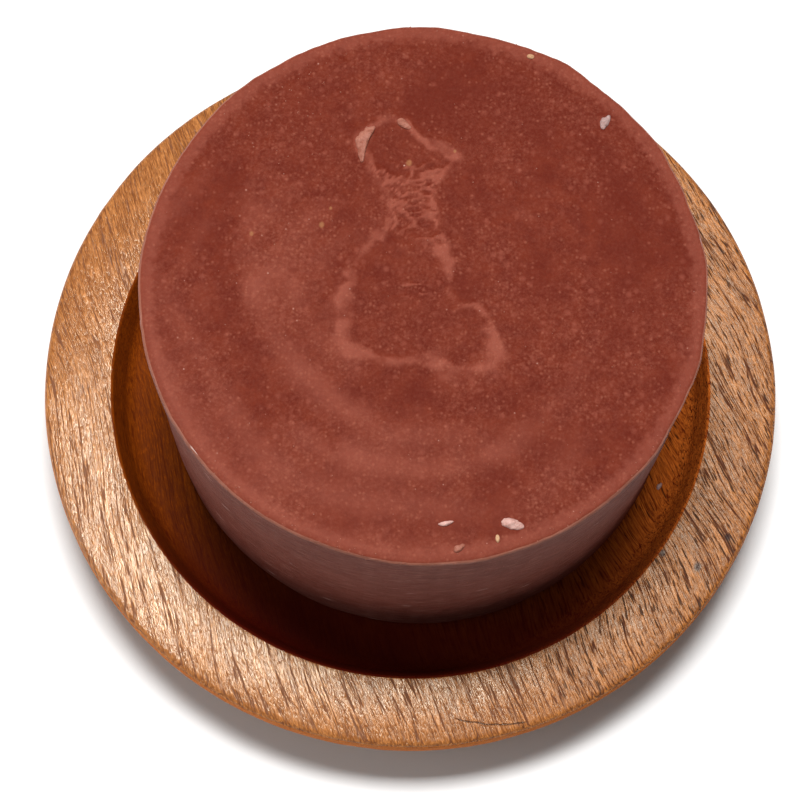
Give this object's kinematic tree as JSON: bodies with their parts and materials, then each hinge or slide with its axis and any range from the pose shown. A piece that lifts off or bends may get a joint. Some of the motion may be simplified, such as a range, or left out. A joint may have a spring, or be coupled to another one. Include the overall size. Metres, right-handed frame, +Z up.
{
  "type": "shaving soap puck",
  "caption": "Round brick-red shaving soap puck with loose flakes, standing in the shallow recess of a turned wooden dish.",
  "frame": {"origin": "centre of the dish's foot ring, on the surface that it stands on", "axes": "+Z up through the dish's turning axis; +Y towards the back of the object as it is usually seen, +X to its right"},
  "size_m": [0.1024, 0.1024, 0.049],
  "materials": {
    "dish_wood": "satin varnish over open grain",
    "soap": "waxy, slightly translucent, with fine pale bloom",
    "soap_flake": "dry pale soap",
    "cream_flake": "dry cream-coloured soap"
  },
  "bodies": {
    "dish": {"dish": "dish_wood", "crumb_in_recess": "soap_flake"},
    "puck": {"soap_puck": "soap", "flake_oblong": "soap_flake", "flake_grain": "cream_flake", "flake_grey": "soap_flake", "flake_cream": "cream_flake", "flake_sliver": "soap_flake", "flake_curl": "soap_flake", "flake_nub": "soap_flake", "crumb_front_edge": "soap_flake"}
  },
  "joints": [
    {"name": "puck_lift", "type": "slide", "parent": "dish", "child": "puck", "axis": [0, 0, 1], "range_m": [0, 0.06]}
  ]
}
